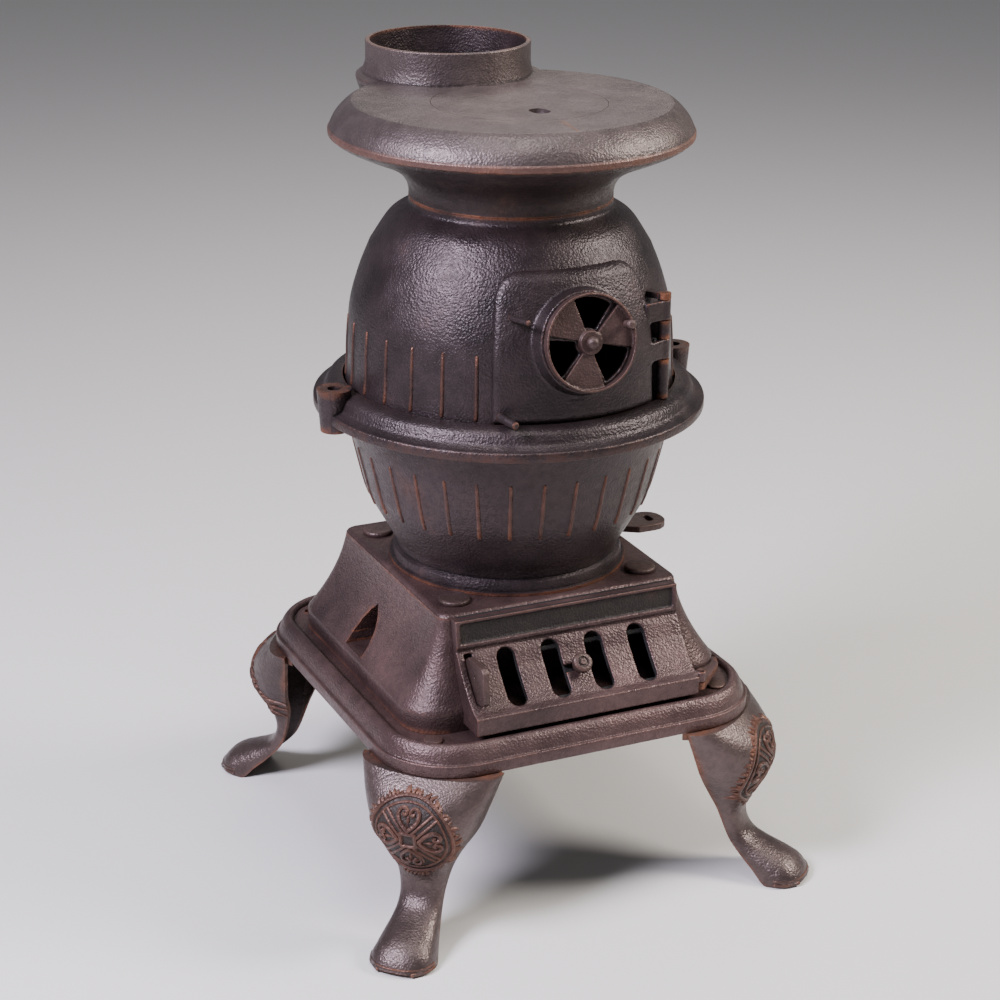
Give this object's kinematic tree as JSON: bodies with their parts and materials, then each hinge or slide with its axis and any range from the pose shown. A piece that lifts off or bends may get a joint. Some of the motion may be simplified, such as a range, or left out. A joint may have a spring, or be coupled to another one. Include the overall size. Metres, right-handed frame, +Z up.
{
  "type": "potbelly stove",
  "caption": "Free-standing cast-iron potbelly stove on cabriole legs, with a fire door, draft wheel, ash door, draft slide, shaker grate, lid and flue collar.",
  "frame": {"origin": "on the ground under the middle of the four feet, on the stove's vertical axis", "axes": "+Z up, the doors face -Y, the shaker bar is at +X, the flue collar at +Y"},
  "size_m": [0.4654, 0.4948, 0.7818],
  "materials": {
    "dark_iron": "dark patinated cast iron with rust on the edges",
    "rusty_iron": "reddish rusted cast iron, satin",
    "worn_iron": "worn lighter cast iron, satin",
    "sooty_iron": "sooty matt cast iron"
  },
  "bodies": {
    "stove": {"cook_top": "worn_iron", "stove_lid": "worn_iron", "neck": "dark_iron", "dome": "dark_iron", "fire_door_hinge_pin": "rusty_iron", "belly_ring": "dark_iron", "fire_bowl": "dark_iron", "pedestal": "rusty_iron", "pedestal_bolt_front_left": "rusty_iron", "pedestal_bolt_front_right": "rusty_iron", "pedestal_bolt_back_left": "rusty_iron", "pedestal_bolt_back_right": "rusty_iron", "ash_door_hinge_pin": "rusty_iron", "base_tray": "rusty_iron", "leg_front_left": "dark_iron", "leg_front_right": "dark_iron", "leg_back_left": "dark_iron", "leg_back_right": "dark_iron", "leg_bolt_front_left": "rusty_iron", "leg_bolt_front_right": "rusty_iron", "leg_bolt_back_right": "rusty_iron"},
    "fire_door": {"fire_door": "dark_iron", "latch_peg_upper": "rusty_iron", "latch_peg_lower": "rusty_iron", "draft_wheel_screw": "rusty_iron"},
    "draft_wheel": {"draft_wheel": "rusty_iron", "draft_wheel_knob": "rusty_iron"},
    "ash_door": {"ash_door": "rusty_iron", "ash_door_latch_pin": "rusty_iron"},
    "ash_latch": {"ash_door_latch": "rusty_iron"},
    "draft_slide": {"draft_slide": "sooty_iron", "draft_slide_knob": "rusty_iron"},
    "grate": {"grate": "sooty_iron", "shaker_bar": "rusty_iron"}
  },
  "joints": [
    {"name": "fire_door_hinge", "type": "hinge", "parent": "stove", "child": "fire_door", "pos_m": [0.0963, -0.1303, 0.555], "axis": [0, 0, 1], "range_deg": [0, 110]},
    {"name": "draft_wheel_spin", "type": "hinge", "parent": "fire_door", "child": "draft_wheel", "pos_m": [0, -0.1751, 0.5645], "axis": [0, -0.9803, 0.1977], "continuous": true},
    {"name": "ash_door_hinge", "type": "hinge", "parent": "stove", "child": "ash_door", "pos_m": [0.1223, -0.182, 0.215], "axis": [0, 0, 1], "range_deg": [0, 100]},
    {"name": "ash_latch_turn", "type": "hinge", "parent": "ash_door", "child": "ash_latch", "pos_m": [-0.106, -0.1505, 0.2395], "axis": [-1, 0, 0], "range_deg": [0, 10]},
    {"name": "draft_slide_slide", "type": "slide", "parent": "ash_door", "child": "draft_slide", "axis": [1, 0, 0], "range_m": [-0.02, 0]},
    {"name": "grate_shake", "type": "hinge", "parent": "stove", "child": "grate", "pos_m": [0, 0, 0.31], "axis": [0, 0, 1], "range_deg": [-11, 11]}
  ]
}
